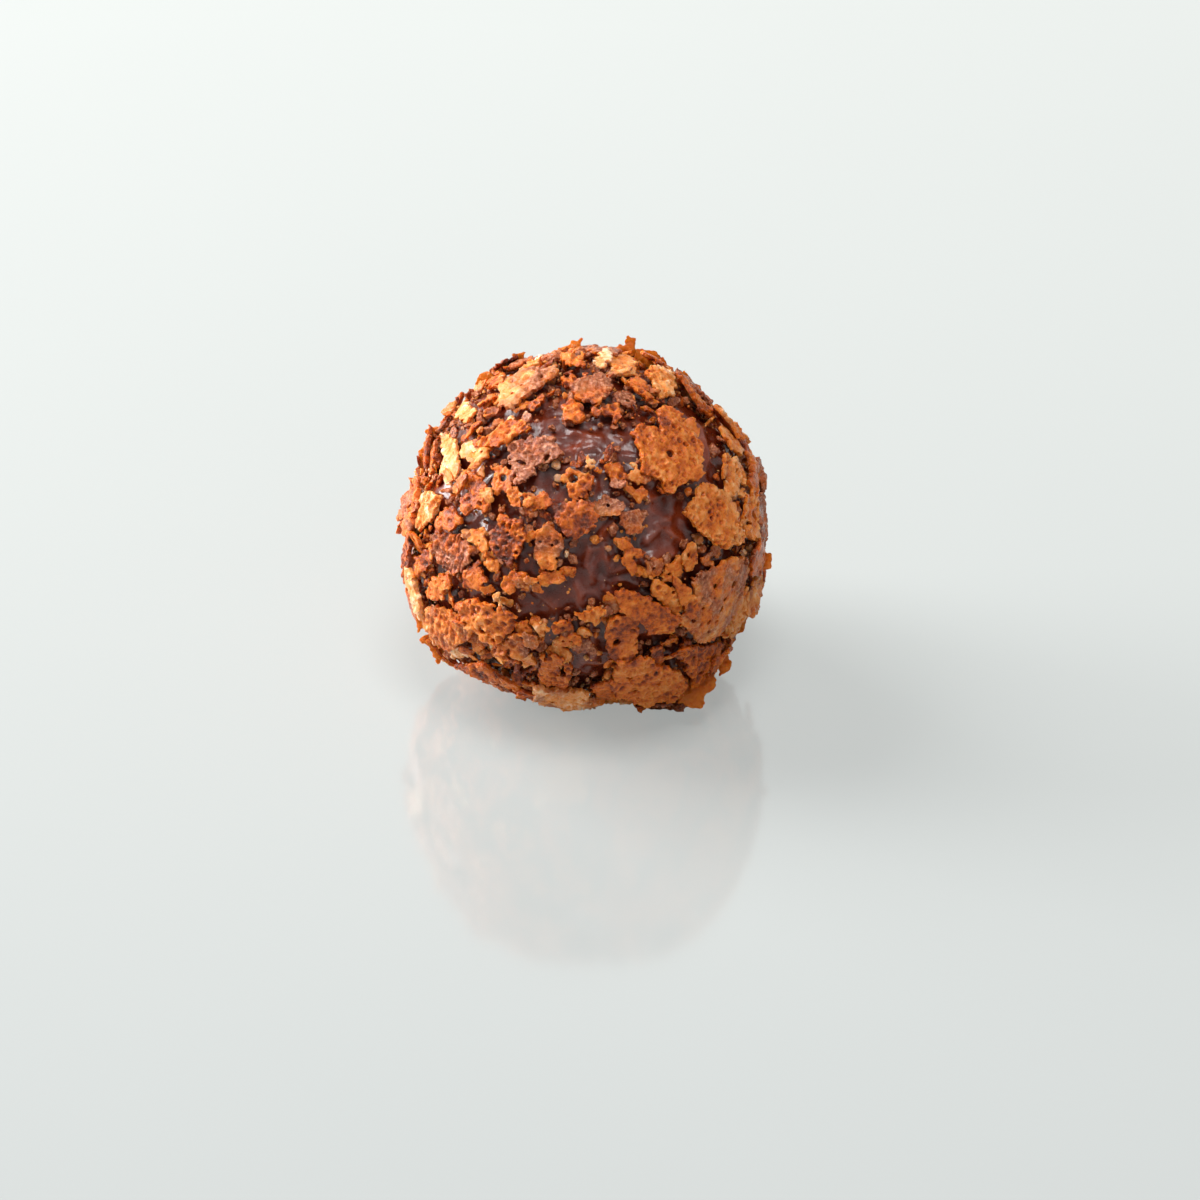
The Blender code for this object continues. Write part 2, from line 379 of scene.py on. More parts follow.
def stand_flake(kind, tone, origin, across, along, corners, thickness=0.36, relief=BUBBLY,
                coat=0.0, pores=(), spacing=0.115, jag=0.20, dice=chance):
    """A flat flake on edge: its corners lie along two directions from `origin`, all in mm."""
    made = sheet_of_wafer(np.array(corners, float), pores, thickness, spacing, relief, dice, jag)
    if made is None:
        return
    flat, faces, painted_relief_shade = made
    facing = np.cross(across, along)
    points = origin + flat @ np.array([across, along, facing])
    points[:, 2] = np.maximum(points[:, 2], 0.02)
    buried = CHOCOLATE_RADIUS + 0.5 - np.linalg.norm(points - CENTRE, axis=1)
    # Painted shade: how sunken each point is goes into the tone, so pits are painted darker and raised
    # rims paler.
    tones = tone + TONE_DRIFT * drift(points, 1.3, 41.0) + np.clip(painted_relief_shade, -0.20, 0.14)
    coats = coat + 0.25 * drift(points, 1.0, 43.0) + 0.5 * np.clip(buried, -0.5, 0.8)
    add_to_heap(kind, points, faces, tones, coats)


def rim_flake(tone, depth, corners, sway=0.0, **how):
    """A flake that stands up at the outline and faces the front; `depth` is out of the rim's plane."""
    across = RIGHT * math.cos(sway) + OUT * math.sin(sway)
    wider = RIM_REACH * np.array(corners)
    how = {"relief": SMOOTH, "jag": 0.13, "coat": -0.6, **how}
    stand_flake("standing_flakes", tone, CENTRE + OUT * depth, across, UP, wider, **how)


print("reliefs ready: smooth, bubbly, grainy, wrinkled")

# %% [markdown]
# ## The large flakes of the show side
#
# The biggest flakes are what the eye reads first, so each one is placed one by one: its corners, how
# pale or dark it was baked, and how far it stands out. `lift` is the height of its middle over the
# chocolate in millimetres. They go in from the upper left to the lower right, by the kind of
# crumb: golden, amber, pale, or dipped in chocolate.

# %% Upper left
show_flake("pale_flakes", 0.72, 0.4, [(-12.1, 7.4), (-11, 7.5), (-10.6, 6), (-10.6, 4.2), (-11.4, 3.2),
    (-12.2, 4), (-12, 5.6)], coat=0.3)
show_flake("pale_flakes", 0.6, 0.85, [(-6.9, 11.2), (-5.9, 11.8), (-5.1, 12.6), (-3.7, 12.4),
    (-2.5, 12.6), (-2.7, 11.8), (-3.8, 10.9), (-4.6, 10.2), (-5.9, 9.1), (-7, 9.3)],
    pores=[(-4.6, 11.6, 0.16), (-5.9, 10.3, 0.14), (-3.6, 11.7, 0.14), (-5.2, 11, 0.17),
    (-5.2, 9.9, 0.13)], relief=SMOOTH, coat=0.44, thickness=0.4)
show_flake("golden_flakes", 0.4, 0.6, [(-5.2, 9.4), (-4.5, 10), (-3.5, 10.6), (-3.7, 9.6), (-4.4, 9.1)])
show_flake("golden_flakes", 0.5, 0.8, [(-9.4, 6.6), (-8.1, 6.9), (-7.1, 7.6), (-6.1, 8.2), (-4.7, 8),
    (-4.2, 7.4), (-5.8, 6.9), (-6.3, 6.3), (-7.3, 6), (-8.9, 6.2)], lean=(0.06, 0), relief=WRINKLED)
show_flake("dipped_flakes", 0.3, 0.7, [(-6.1, 6.1), (-5.4, 6.6), (-3.8, 7), (-2.6, 7), (-2, 5.5),
    (-3.2, 4.7), (-4.1, 3.9), (-5.5, 3.1), (-6.2, 3.4), (-5.9, 4.8)], coat=0.62, relief=BUBBLY,
    thickness=0.38)
show_flake("golden_flakes", 0.5, 0.55, [(-7.7, 4.5), (-6.8, 4.8), (-5.9, 4.3), (-6.3, 2.4),
    (-7.4, 2.5)], pores=[(-6.8, 3.7, 0.32)])
show_flake("golden_flakes", 0.42, 0.7, [(-10.2, 4), (-9.1, 4.3), (-8.5, 3.8), (-7.5, 2.2), (-8.1, 0.9),
    (-9.8, 0.9), (-10.2, 1.8), (-9.3, 2.5)], relief=GRAINY)
show_flake("amber_flakes", 0.34, 0.65, [(-12.1, 0.3), (-11.4, 1.3), (-10.6, 1.2), (-10.1, 0.2),
    (-10.7, -0.5), (-12, -0.5)], thickness=0.45)
show_flake("pale_flakes", 0.66, 0.65, [(-14, 2.3), (-12.9, 2.6), (-11.9, 2.2), (-12, 1), (-12.8, 0.2),
    (-13.8, -0.4), (-14.2, 0.8)], relief=WRINKLED)
show_flake("golden_flakes", 0.44, 0.6, [(-5.2, 1.2), (-4.2, 2), (-3.4, 2.4), (-2.5, 1.6), (-3.4, 1.2),
    (-4.6, 0.8)])
show_flake("amber_flakes", 0.3, 0.75, [(-2.6, 1.5), (0.3, 1.7), (0.9, 0.6), (0.6, -0.5), (-0.9, -1.2),
    (-1.6, -0.9), (-2.3, 0.2)], thickness=0.34)
show_flake("golden_flakes", 0.5, 0.6, [(-2, 3.6), (-1.5, 4.2), (-0.6, 4.2), (0.6, 3.6), (0.3, 2.8),
    (-0.2, 2.1), (-1.1, 1.8), (-1.7, 3)], pores=[(-1.1, 3.6, 0.34)])
show_flake("golden_flakes", 0.7, 0.65, [(-0.2, 4.3), (0.1, 5.4), (1, 4.8), (0.4, 4.4)])
show_flake("dipped_flakes", 0.42, 0.75, [(-1.4, 10.9), (-0.6, 11.6), (1.2, 12), (2.3, 11), (1.7, 10.1),
    (0.9, 9.6), (-0.6, 10), (-1.3, 10.3)], coat=0.58, lean=(0, 0.06))
show_flake("golden_flakes", 0.36, 0.55, [(-1.9, 9.4), (-1.2, 10), (-0.3, 9.5), (-0.2, 8.3), (-1, 8.1),
    (-1.8, 8.6)], relief=GRAINY)
show_flake("amber_flakes", 0.26, 0.6, [(-2.3, 12), (-1.6, 12.5), (-0.9, 12.1), (-1, 11.3),
    (-1.8, 11.1)], relief=BUBBLY)
show_flake("golden_flakes", 0.46, 0.8, [(-2.2, 13.4), (-1.2, 14), (-0.2, 13.6), (-0.3, 12.6),
    (-1.4, 12.6)], relief=BUBBLY)
show_flake("golden_flakes", 0.46, 0.55, [(-8.4, 12), (-7.2, 12.8), (-6.8, 11.9), (-7.9, 11.2)])
show_flake("pale_flakes", 0.7, 0.45, [(-11.3, 9.4), (-10, 10.4), (-9.2, 9.4), (-10, 8.3)])

# %% Upper right
show_flake("pale_flakes", 0.84, 0.8, [(0.7, 12.8), (0.9, 13.8), (1.8, 14.2), (1.8, 13.1), (1.3, 12.4)])
show_flake("golden_flakes", 0.66, 0.6, [(1.8, 13.8), (2.9, 14.3), (3.8, 13.7), (4.1, 12.7), (3.7, 12.1),
    (2.8, 12.2), (2, 13.1)])
show_flake("golden_flakes", 0.44, 0.95, [(4.3, 14), (5.3, 14.2), (6.4, 13.7), (6.6, 12.9), (5.5, 13),
    (4.5, 13.4)], lean=(0, 0.2))
show_flake("golden_flakes", 0.68, 0.7, [(4.7, 12.3), (5.7, 12.9), (6.8, 12.5), (7.2, 11.5), (7, 10.5),
    (6, 10.3), (5.3, 11.3)], relief=GRAINY)
show_flake("golden_flakes", 0.44, 0.7, [(3.2, 11.5), (4, 11.8), (4.7, 11.4), (5, 10.5), (5.4, 10.1),
    (4.6, 10), (4, 10.8)])
show_flake("amber_flakes", 0.38, 0.75, [(7.1, 12.1), (8, 12.6), (9.1, 11.3), (10, 10.3), (10.9, 9.6),
    (10.5, 9), (9.3, 9.8), (8.3, 10.8)], lean=(0.1, 0.1), relief=WRINKLED)
show_flake("amber_flakes", 0.3, 0.6, [(0.7, 9.2), (1.8, 9.6), (2.4, 10.4), (2.8, 9.3), (3.1, 8.6),
    (2.3, 8.1), (1.5, 8.3)], relief=BUBBLY)
show_flake("golden_flakes", 0.47, 0.9, [(5.5, 8.8), (6.3, 9.3), (7.6, 8.4), (7.7, 7.6), (8.7, 6.9),
    (9.3, 5.9), (8.8, 5.2), (9, 4), (8.7, 3.3), (8, 3.4), (7.1, 2.9), (6.7, 2.3), (6.1, 2.4),
    (5.8, 3.3), (4.4, 4), (4.1, 5.8), (3.5, 7.1), (4.3, 7.7), (5.8, 7.3)], pores=[(6.45, 5.45, 0.3)],
    relief=GRAINY, thickness=0.4, jag=0.14)
show_flake("golden_flakes", 0.56, 0.85, [(9.1, 3.4), (10.2, 2.9), (11.4, 2.3), (12, 0.9), (12.1, -0.3),
    (12.6, -1.2), (11, -1.9), (9.5, -1.4), (8.4, -0.3), (7.6, 0.7), (8.3, 1.9)], relief=GRAINY,
    thickness=0.38, coat=0.16)
show_flake("golden_flakes", 0.52, 0.6, [(3.3, 3.9), (3.9, 4.7), (4.4, 4.2), (4.4, 3.3), (3.5, 3.3)])
show_flake("amber_flakes", 0.4, 0.6, [(3.1, 3.2), (3.8, 2.7), (4.4, 3), (4.9, 2.3), (4.2, 1.7),
    (3.4, 2.5)])
show_flake("amber_flakes", 0.3, 0.65, [(0.8, 4.6), (1.7, 4.8), (2.8, 5.1), (3.2, 3.7), (2.2, 3.1),
    (1.8, 3.9)], relief=BUBBLY)
show_flake("amber_flakes", 0.42, 0.95, [(11.6, 8.2), (12.5, 8.4), (13.3, 7.3), (14.1, 6.2), (14.4, 5.1),
    (14.3, 4.1), (13.3, 5.1), (12.4, 6.9)], lean=(0.16, 0.1), relief=WRINKLED)
show_flake("golden_flakes", 0.6, 0.7, [(10.8, 8), (11.6, 7.7), (12.9, 6), (12.2, 5.6), (11.5, 6.4)])
show_flake("pale_flakes", 0.58, 0.6, [(11.2, 5.6), (12.4, 5.4), (13.2, 3.9), (12.8, 2.2), (11.8, 2.6),
    (11, 4)], relief=BUBBLY, coat=0.22)
show_flake("golden_flakes", 0.55, 0.65, [(12.9, 2.3), (13.8, 2.6), (14.2, 0.6), (14, -1.4), (13, -1.2),
    (12.7, 0.6)], relief=BUBBLY)

# %% Lower left
show_flake("golden_flakes", 0.66, 0.7, [(-9.2, -0.6), (-8.3, -0.6), (-7.9, -1.7), (-8.2, -2.6),
    (-9.4, -1.1)], pores=[(-8.6, -1.4, 0.12)])
show_flake("amber_flakes", 0.24, 0.65, [(-7.9, -1.5), (-7.4, -0.1), (-6.5, 0.5), (-5.2, 0.2),
    (-4.9, -0.8), (-5.3, -2.2), (-6.3, -3.3), (-7.4, -2.4)], pores=[(-6.3, -0.8, 0.14)], relief=GRAINY)
show_flake("golden_flakes", 0.46, 0.55, [(-5, -0.7), (-3.7, -0.6), (-4.8, -1.8)])
show_flake("dipped_flakes", 0.5, 0.6, [(-4.1, -0.8), (-3, 0.1), (-2.1, -1), (-1.9, -1.9), (-2.8, -3.8),
    (-3.6, -3.6), (-4.3, -2.4)], pores=[(-3.8, -1.5, 0.13), (-2.8, -1.8, 0.13)], coat=0.5,
    thickness=0.28)
show_flake("golden_flakes", 0.6, 0.55, [(-8.3, -3.4), (-7.7, -2.8), (-7, -3.1), (-7.2, -4), (-7.9, -4)])
show_flake("golden_flakes", 0.5, 0.55, [(-4.1, -4.5), (-3.3, -4), (-2, -3.8), (-1.9, -4.5), (-3, -5.1),
    (-3.9, -5)])
show_flake("golden_flakes", 0.52, 0.6, [(-6.6, -4.3), (-6.1, -3.7), (-5, -4.2), (-5.5, -4.9),
    (-6.2, -5.5), (-7, -5.2)])
show_flake("amber_flakes", 0.34, 0.65, [(-9.9, -4.1), (-8.8, -2.9), (-8, -4.7), (-8.7, -5.3),
    (-9.9, -5)])
show_flake("dipped_flakes", 0.36, 0.6, [(-12.3, -0.9), (-11, -0.8), (-9.5, -1.4), (-9.2, -3.2),
    (-10.6, -4), (-11.9, -3.4), (-12.5, -2)], coat=0.45, relief=WRINKLED, thickness=0.38)
show_flake("golden_flakes", 0.45, 0.7, [(-12.7, -1.7), (-12.3, -2.3), (-13, -3.8), (-13.6, -3.9),
    (-13.5, -2.8)], lean=(-0.1, 0))
show_flake("golden_flakes", 0.5, 0.65, [(-12.3, -4.2), (-11.2, -4.1), (-10.9, -5), (-12, -6.2),
    (-12.7, -5.6)])
show_flake("pale_flakes", 0.82, 0.75, [(-7.8, -5.6), (-7, -5.6), (-6.8, -6.7)])
show_flake("amber_flakes", 0.42, 0.85, [(-10.4, -6.4), (-8.8, -5.9), (-6.8, -6.7), (-5.4, -7.4),
    (-5.5, -8.1), (-7, -9.4), (-8.3, -8.8), (-9.9, -7.7)], relief=BUBBLY, thickness=0.38)
show_flake("pale_flakes", 0.52, 0.75, [(-13.8, -6.4), (-12.3, -6.5), (-11, -6.8), (-9.1, -8.3),
    (-9.2, -9.2), (-10.5, -9.6), (-12, -9.4), (-13, -9.2), (-13.8, -7.9)], relief=WRINKLED,
    thickness=0.34, coat=0.34)
show_flake("dipped_flakes", 0.46, 0.75, [(-6.6, -9.3), (-5.8, -8.8), (-4.1, -8.8), (-3.9, -9.9),
    (-5.4, -10.9), (-6.6, -10.8), (-7.5, -10.1)], coat=0.42, relief=BUBBLY)
show_flake("pale_flakes", 0.84, 0.7, [(-10.6, -9.6), (-9.4, -9.4), (-9.3, -10.3), (-10.4, -10.4)])
show_flake("golden_flakes", 0.58, 0.65, [(-4.5, -8.1), (-3.7, -8.1), (-2.7, -8.5), (-3.7, -9.2)])
show_flake("golden_flakes", 0.56, 0.6, [(-2.6, -9.8), (-2, -8.9), (-1.4, -9.2), (-1.3, -9.9)],
    pores=[(-1.9, -9.5, 0.13)])
show_flake("golden_flakes", 0.6, 0.65, [(-1.1, -7.1), (0.8, -6.7), (1.5, -7), (0.6, -8), (-0.8, -7.6)],
    relief=WRINKLED)
show_flake("golden_flakes", 0.42, 0.85, [(-10, -10.8), (-8, -10.8), (-6.6, -12), (-5.2, -13.2),
    (-5.3, -14), (-7, -13.3), (-9, -12.1)], relief=WRINKLED, lean=(0, 0.12), thickness=0.38)
show_flake("dipped_flakes", 0.52, 0.55, [(-11.6, -10.4), (-10.2, -11.2), (-8.6, -12.5), (-7, -13.6),
    (-8.6, -13.4), (-10.9, -12)], coat=0.4)
show_flake("pale_flakes", 0.64, 0.6, [(-5.5, -10.9), (-4.5, -10.5), (-4.2, -11.3), (-5.1, -11.7)])
show_flake("amber_flakes", 0.34, 0.65, [(-3.6, -10.9), (-2.2, -10.6), (-1.2, -11.6), (-1.5, -13.6),
    (-3.2, -13.9), (-3.9, -12.4)], relief=BUBBLY, pores=[(-2.3, -12.2, 0.18)])

# %% Lower right
show_flake("golden_flakes", 0.46, 0.65, [(2.4, -1.5), (2.9, -1.2), (3.8, -2), (5, -2.2), (4.5, -2.8),
    (3.9, -2.9), (4.1, -3.7), (3.7, -4.4), (3, -3.5), (2.5, -2.7), (3.2, -2.4)])
show_flake("dipped_flakes", 0.34, 0.5, [(2.6, 0.9), (3.8, 1.1), (4.8, 0.5), (4.4, -0.8), (3.2, -0.9)],
    coat=0.6)
show_flake("golden_flakes", 0.56, 0.65, [(5.1, -4.3), (6.5, -4.9), (7.3, -5.3), (7.7, -7.1),
    (6.9, -7.3), (6.2, -6.4), (5.3, -5.6)], pores=[(6.9, -5.5, 0.14)])
show_flake("golden_flakes", 0.46, 0.95, [(6.9, -4.3), (7.9, -4.7), (8.4, -5.6), (8.8, -6.6),
    (8.5, -7.4), (7.8, -7.1), (7.4, -6)], lean=(0.1, 0))
show_flake("pale_flakes", 0.5, 0.8, [(8.3, -4.3), (9.2, -3.9), (10.3, -3.6), (11.2, -2.8), (12.3, -2.7),
    (13, -3.6), (12.4, -5.2), (12.3, -6.1), (11.3, -7.9), (10.3, -9), (9.2, -9.4), (8.3, -8.9),
    (7.5, -8), (7.3, -7.3), (8.5, -7.2), (8.6, -6.2)], pores=[(11.7, -4.8, 0.36), (10.2, -5, 0.26),
    (11, -6, 0.25), (10.6, -6.7, 0.22), (10.2, -7.7, 0.24), (9.2, -6.7, 0.2), (9.6, -7.7, 0.22),
    (8.4, -7.6, 0.2), (9.6, -8.5, 0.18), (10.1, -5.9, 0.12)], relief=SMOOTH, thickness=0.4, coat=0.46)
show_flake("golden_flakes", 0.7, 0.7, [(12.5, -5.2), (13.6, -5.1), (14, -6), (13.3, -7.9), (12.6, -9),
    (11.8, -9), (11.3, -8.3), (12, -7)], relief=WRINKLED, thickness=0.3)
show_flake("amber_flakes", 0.38, 0.9, [(2.3, -5.4), (3.5, -5.3), (4.7, -5.9), (5.9, -6.2), (6.7, -7),
    (7.4, -7.5), (6.2, -8.5), (5, -8.8), (4.4, -8), (3.4, -7.5), (2.5, -6.6)], lean=(0.03, 0.03),
    thickness=0.34)
show_flake("amber_flakes", 0.36, 0.7, [(1.7, -7.9), (2.6, -7.3), (3.5, -7), (4.1, -7.7), (4.4, -8.6),
    (3.8, -9.6), (4.2, -10.2), (3.5, -10.8), (2.8, -11.2), (2.1, -10.8), (1.4, -10)],
    pores=[(2.4, -9.55, 0.3)], thickness=0.38)
show_flake("amber_flakes", 0.32, 0.6, [(5.2, -10.3), (6, -10), (6.4, -10.8), (5.8, -11.4), (5, -11)])
show_flake("golden_flakes", 0.46, 0.85, [(2.5, -10.9), (3.8, -10.7), (4.9, -10.4), (5.6, -11.1),
    (7.2, -11.5), (7.5, -12.2), (7, -13), (5.2, -13.7), (3.2, -13.8), (2.3, -13.6), (1.9, -12.4)],
    pores=[(3.3, -12.2, 0.22), (4.6, -11.9, 0.2), (5.6, -12.5, 0.24), (4.3, -13, 0.16)], relief=BUBBLY,
    thickness=0.38)
show_flake("amber_flakes", 0.4, 0.6, [(7.6, -9.8), (9.4, -9.9), (10.8, -9.4), (10.9, -11.2),
    (9.6, -12.4), (8.3, -12.6), (7.7, -11.4)], relief=BUBBLY, pores=[(9.2, -11.2, 0.2)])
show_flake("golden_flakes", 0.52, 0.7, [(9.6, -12.4), (10.6, -11.8), (10.2, -13.1), (9.2, -14.3),
    (8.4, -13.6)], relief=BUBBLY)
show_flake("amber_flakes", 0.28, 0.65, [(6.9, -13.2), (8.2, -12.9), (8.9, -13.8), (8, -14.7),
    (6.8, -14.3)])
show_flake("golden_flakes", 0.44, 0.55, [(0.4, -13.2), (1.8, -12.9), (2.9, -13.9), (2, -14.5),
    (0.6, -14.3)])
show_flake("amber_flakes", 0.38, 0.6, [(3.7, -14), (5.6, -14), (6.5, -14), (5.3, -14.8), (3.9, -14.7)])
print("flakes of the show side:", len(footprints))

# %% [markdown]
# ## Flakes that stand up at the outline
#
# Some flakes went in on edge and stand out past the ball, with light coming through them. They are
# flat plates that face the front, with their roots in the chocolate. The outline of the sweet is
# ragged because of them. Their finish passes some light from behind, so that they glow orange.

# %% Standing flakes of the outline
rim_flake(0.44, 4.2, [(-13, 8.2), (-12.2, 7.4), (-12.2, 5.2), (-13.2, 2.7), (-14.3, 2.4), (-15, 3.2),
    (-14.5, 4.6), (-14.6, 6), (-13.9, 6.8), (-13.9, 7.8)], sway=0.3)
rim_flake(0.36, 0.5, [(-14.4, -1), (-14.2, 1.4), (-15.2, 1.8), (-15.1, 0.2), (-15, -0.9)])
rim_flake(0.4, 1, [(-14.1, -2.2), (-13.8, -4.2), (-14.6, -4.4), (-15, -3)])
rim_flake(0.38, 0, [(-8.6, 11), (-7.2, 12.2), (-7.4, 13), (-8.9, 12.5), (-9.6, 11.6)], sway=0.2)
rim_flake(0.3, 0, [(-6.5, 12.6), (-5.3, 13), (-5.2, 14.2), (-6, 14)])
rim_flake(0.42, 0.5, [(-2.2, 13.7), (-0.6, 14.1), (-0.5, 15.2), (-1.2, 15.1), (-1.7, 14.7),
    (-2.3, 14.5)])
rim_flake(0.3, 0.5, [(2, 14), (3.9, 13.8), (4, 15.3), (3.4, 15.6), (3.1, 14.9), (2.2, 14.8)])
rim_flake(0.36, 1.5, [(4, 13.6), (6.2, 12.6), (6.9, 13.2), (6.3, 14.1), (5.2, 14.5), (4.2, 14.5)],
    sway=-0.3)
rim_flake(0.44, 1, [(7.6, 11.4), (9.8, 9.5), (10.9, 9.5), (10.2, 10.4), (8.9, 11.9), (8.1, 12.5)],
    sway=-0.2, relief=WRINKLED)
rim_flake(0.44, 4.4, [(11.8, 8.4), (12, 7), (12.8, 5.4), (13.6, 4), (14.5, 4.1), (14.3, 5), (14.8, 5.4),
    (14, 6.6), (13.2, 7.7), (12.5, 8.6)], sway=-0.5, relief=WRINKLED)
rim_flake(0.34, 1, [(14, -2), (14.2, -3.8), (15.1, -3.6), (15.1, -2.4)])
rim_flake(0.6, 2, [(13, -5), (12.6, -8.9), (13.4, -8.7), (13.9, -7.3), (14.3, -5.9), (13.9, -5)],
    sway=-0.3)
rim_flake(0.4, 0.5, [(10.6, -9.6), (11, -12.4), (11.8, -11.9), (11.6, -10.6), (12.2, -9.4)])
rim_flake(0.36, 1.5, [(8, -12.6), (10.2, -12.2), (10.6, -13.2), (9.7, -14.2), (9.6, -15), (8.6, -15.1),
    (7.6, -14.6)])
rim_flake(0.32, 0.5, [(3.4, -13.8), (5.4, -13.8), (5.2, -15), (4.4, -15.5), (4, -14.9)])
rim_flake(0.46, 1, [(-13.2, -6.2), (-12.9, -8.4), (-13.9, -8.8), (-14.2, -7.4)])
rim_flake(0.5, 0.5, [(-12.6, -8.8), (-11.4, -10), (-12.2, -11.6), (-13, -10.2), (-13.9, -9.5)])
rim_flake(0.4, 0, [(-6.4, -12.9), (-4.6, -13.2), (-5, -14.7), (-5.8, -14.2)])

# %% [markdown]
# ## Flakes round the rest of the ball
#
# The truffle was rolled, so its coat is the same all round. Away from the show side, chance lays
# the flakes: crooked outlines of six to ten corners, the large ones first. A new flake has to keep
# some distance from the flakes already there, so that they cover the ball without burying each
# other. Between them go medium and small chips, on the show side too.

# %% Outlines by chance, and where there is room
KINDS = ("golden_flakes", "amber_flakes", "pale_flakes", "dipped_flakes")
TONES = {"golden_flakes": (0.42, 0.66), "amber_flakes": (0.24, 0.42),
         "pale_flakes": (0.58, 0.84), "dipped_flakes": (0.30, 0.50)}
BARE_CHOCOLATE = [  # windows between the flakes, as (right, up, half width, half height)
    (8.2, 9.3, 2.4, 1.0), (9.8, 7.2, 0.9, 2.0), (9.9, 4.6, 0.5, 1.2), (6.6, 0.9, 1.6, 1.4),
    (6.3, -1.5, 1.6, 1.5), (0.9, -3.4, 1.6, 2.6), (-3.3, -6.8, 2.4, 1.2), (-3.4, 9.0, 0.5, 1.4),
    (-0.4, 6.8, 3.0, 1.3), (5.2, -9.5, 0.8, 0.7), (1.2, -9.6, 0.5, 2.4), (-0.1, -12.2, 0.7, 1.2),
    (-6.2, 5.4, 0.6, 0.5), (3.6, 6.2, 0.4, 1.6), (-0.6, -5.6, 1.2, 1.4), (3.8, -4.9, 1.0, 0.7),
]


def crooked_outline(length, width, corners, dice, turned=True):
    """A broken outline: corners at uneven angles and distances, as a whole turned at random."""
    angles = 2 * math.pi * (np.arange(corners) + dice.uniform(-0.33, 0.33, corners)) / corners
    reach = 0.5 * (1 + dice.uniform(-0.28, 0.22, corners))
    outline = np.column_stack([length * reach * np.cos(angles), width * reach * np.sin(angles)])
    turn = dice.uniform(0, math.pi) if turned else 0.0
    spin = np.array([[math.cos(turn), -math.sin(turn)], [math.sin(turn), math.cos(turn)]])
    return outline @ spin.T


def kept_bare(direction, margin):
    """Whether a place on the ball belongs to one of the windows of smooth chocolate."""
    if direction @ OUT < 0.1:
        return False
    right, up = direction @ RIGHT * COAT_RADIUS, direction @ UP * COAT_RADIUS
    return any(
        ((right - x) / (wide + margin)) ** 2 + ((up - y) / (high_ + margin)) ** 2 < 1
        for x, y, wide, high_ in BARE_CHOCOLATE
    )


def crowding(direction, reach):
    """How much a flake of this reach would overlap those already laid: 1 is wholly on another."""
    centres = np.array([centre for centre, _, _ in footprints])
    reaches = np.array([size for _, size, _ in footprints])
    away = np.arccos(np.clip(centres @ direction, -1, 1)) * COAT_RADIUS
    overlap = (reaches + reach - away) / (2 * np.minimum(reaches, reach))
    return float(overlap.max())


def random_direction(dice):
    towards = dice.normal(size=3)
    return towards / np.linalg.norm(towards)


def scatter_flakes(tries, lengths, limit, lifts, spacing, shares, only_behind, thicknesses, dice):
    """Lays flakes by chance where there is room, and returns how many were laid."""
    laid = 0
    for _ in range(tries):
        direction = random_direction(dice)
        length = dice.uniform(*lengths)
        width = length * dice.uniform(0.42, 0.85)
        kind = KINDS[dice.choice(4, p=shares)]
        if only_behind and direction @ OUT > 0.30:
            continue
        if crowding(direction, 0.36 * (length + width) * 0.5 + 0.1) > limit:
            continue
        if kept_bare(direction, 0.25 * length) or (direction @ OUT > 0.5 and dice.random() < 0.5):
            continue
        outline = crooked_outline(length, width, dice.integers(6, 11), dice)
        relief = (SMOOTH, BUBBLY, GRAINY, WRINKLED)[dice.integers(4)]
        pores = [(*dice.uniform(-0.2, 0.2, 2) * length, dice.uniform(0.10, 0.26))
                 for _ in range(dice.integers(0, 4) if length > 2.2 else 0)]
        heap = ("chips_of_" if direction @ OUT > 0.30 else "rear_") + kind
        lay_flake(heap, direction, outline, dice.uniform(*lifts), dice.uniform(*TONES[kind]),
                  coat=0.60 if kind == "dipped_flakes" else dice.uniform(0.0, 0.45),
                  lean=tuple(dice.normal(0, 0.34 / (0.6 + 0.4 * length), 2)),
                  curl=dice.uniform(-0.01, 0.03),
                  thickness=dice.uniform(*thicknesses), pores=pores, relief=relief,
                  spacing=spacing, jag=0.10 + 0.04 * length, dice=dice)
        laid += 1
    return laid


def stand_flakes_round(count, dice):
    """Thin blades on edge all over, away from the middle of the show side."""
    stood = 0
    while stood < count:
        direction = random_direction(dice)
        facing_front = direction @ OUT
        if facing_front > 0.45 or direction[2] < -0.80:
            continue
        level, rise = tangents(direction)
        turn = dice.uniform(0, math.pi)
        across = level * math.cos(turn) + rise * math.sin(turn)
        along = direction + dice.uniform(-0.8, 0.8) * np.cross(direction, across)
        along /= np.linalg.norm(along)
        width, rise_out = dice.uniform(1.0, 3.2), dice.uniform(0.5, 1.25)
        corners = crooked_outline(width, 2.0, dice.integers(6, 9), dice, turned=False)
        corners[:, 1] += rise_out - 0.6
        kind = KINDS[dice.choice(4, p=(0.5, 0.35, 0.1, 0.05))]
        foot = CENTRE + direction * (CHOCOLATE_RADIUS + swelling(direction[None])[0])
        stand_flake(kind, dice.uniform(*TONES[kind]), foot, across, along, corners,
                    thickness=dice.uniform(0.22, 0.36), spacing=0.14, jag=0.16, dice=dice)
        stood += 1
    return stood


# %% Large, medium and small flakes
MIX = (0.40, 0.26, 0.10, 0.24)
large = scatter_flakes(700, (3.4, 6.4), 0.16, (0.60, 0.95), 0.18, MIX, True, (0.36, 0.56), chance)
medium = scatter_flakes(1200, (1.6, 3.0), 0.16, (0.40, 0.85), 0.16, MIX, False, (0.24, 0.42), chance)
small = scatter_flakes(2600, (0.8, 1.6), 0.40, (0.25, 0.80), 0.14, MIX, False, (0.16, 0.30), chance)
blades = stand_flakes_round(110, chance)
print("laid by chance: large", large, "medium", medium, "small", small, "standing", blades)

# %% [markdown]
# ## Turning the heaps into meshes
#
# `foreach_set` fills a mesh from whole arrays at once, which is far quicker than adding hundreds
# of thousands of points one by one. The two numbers of the finish are stored as attributes, where
# the material can read them.

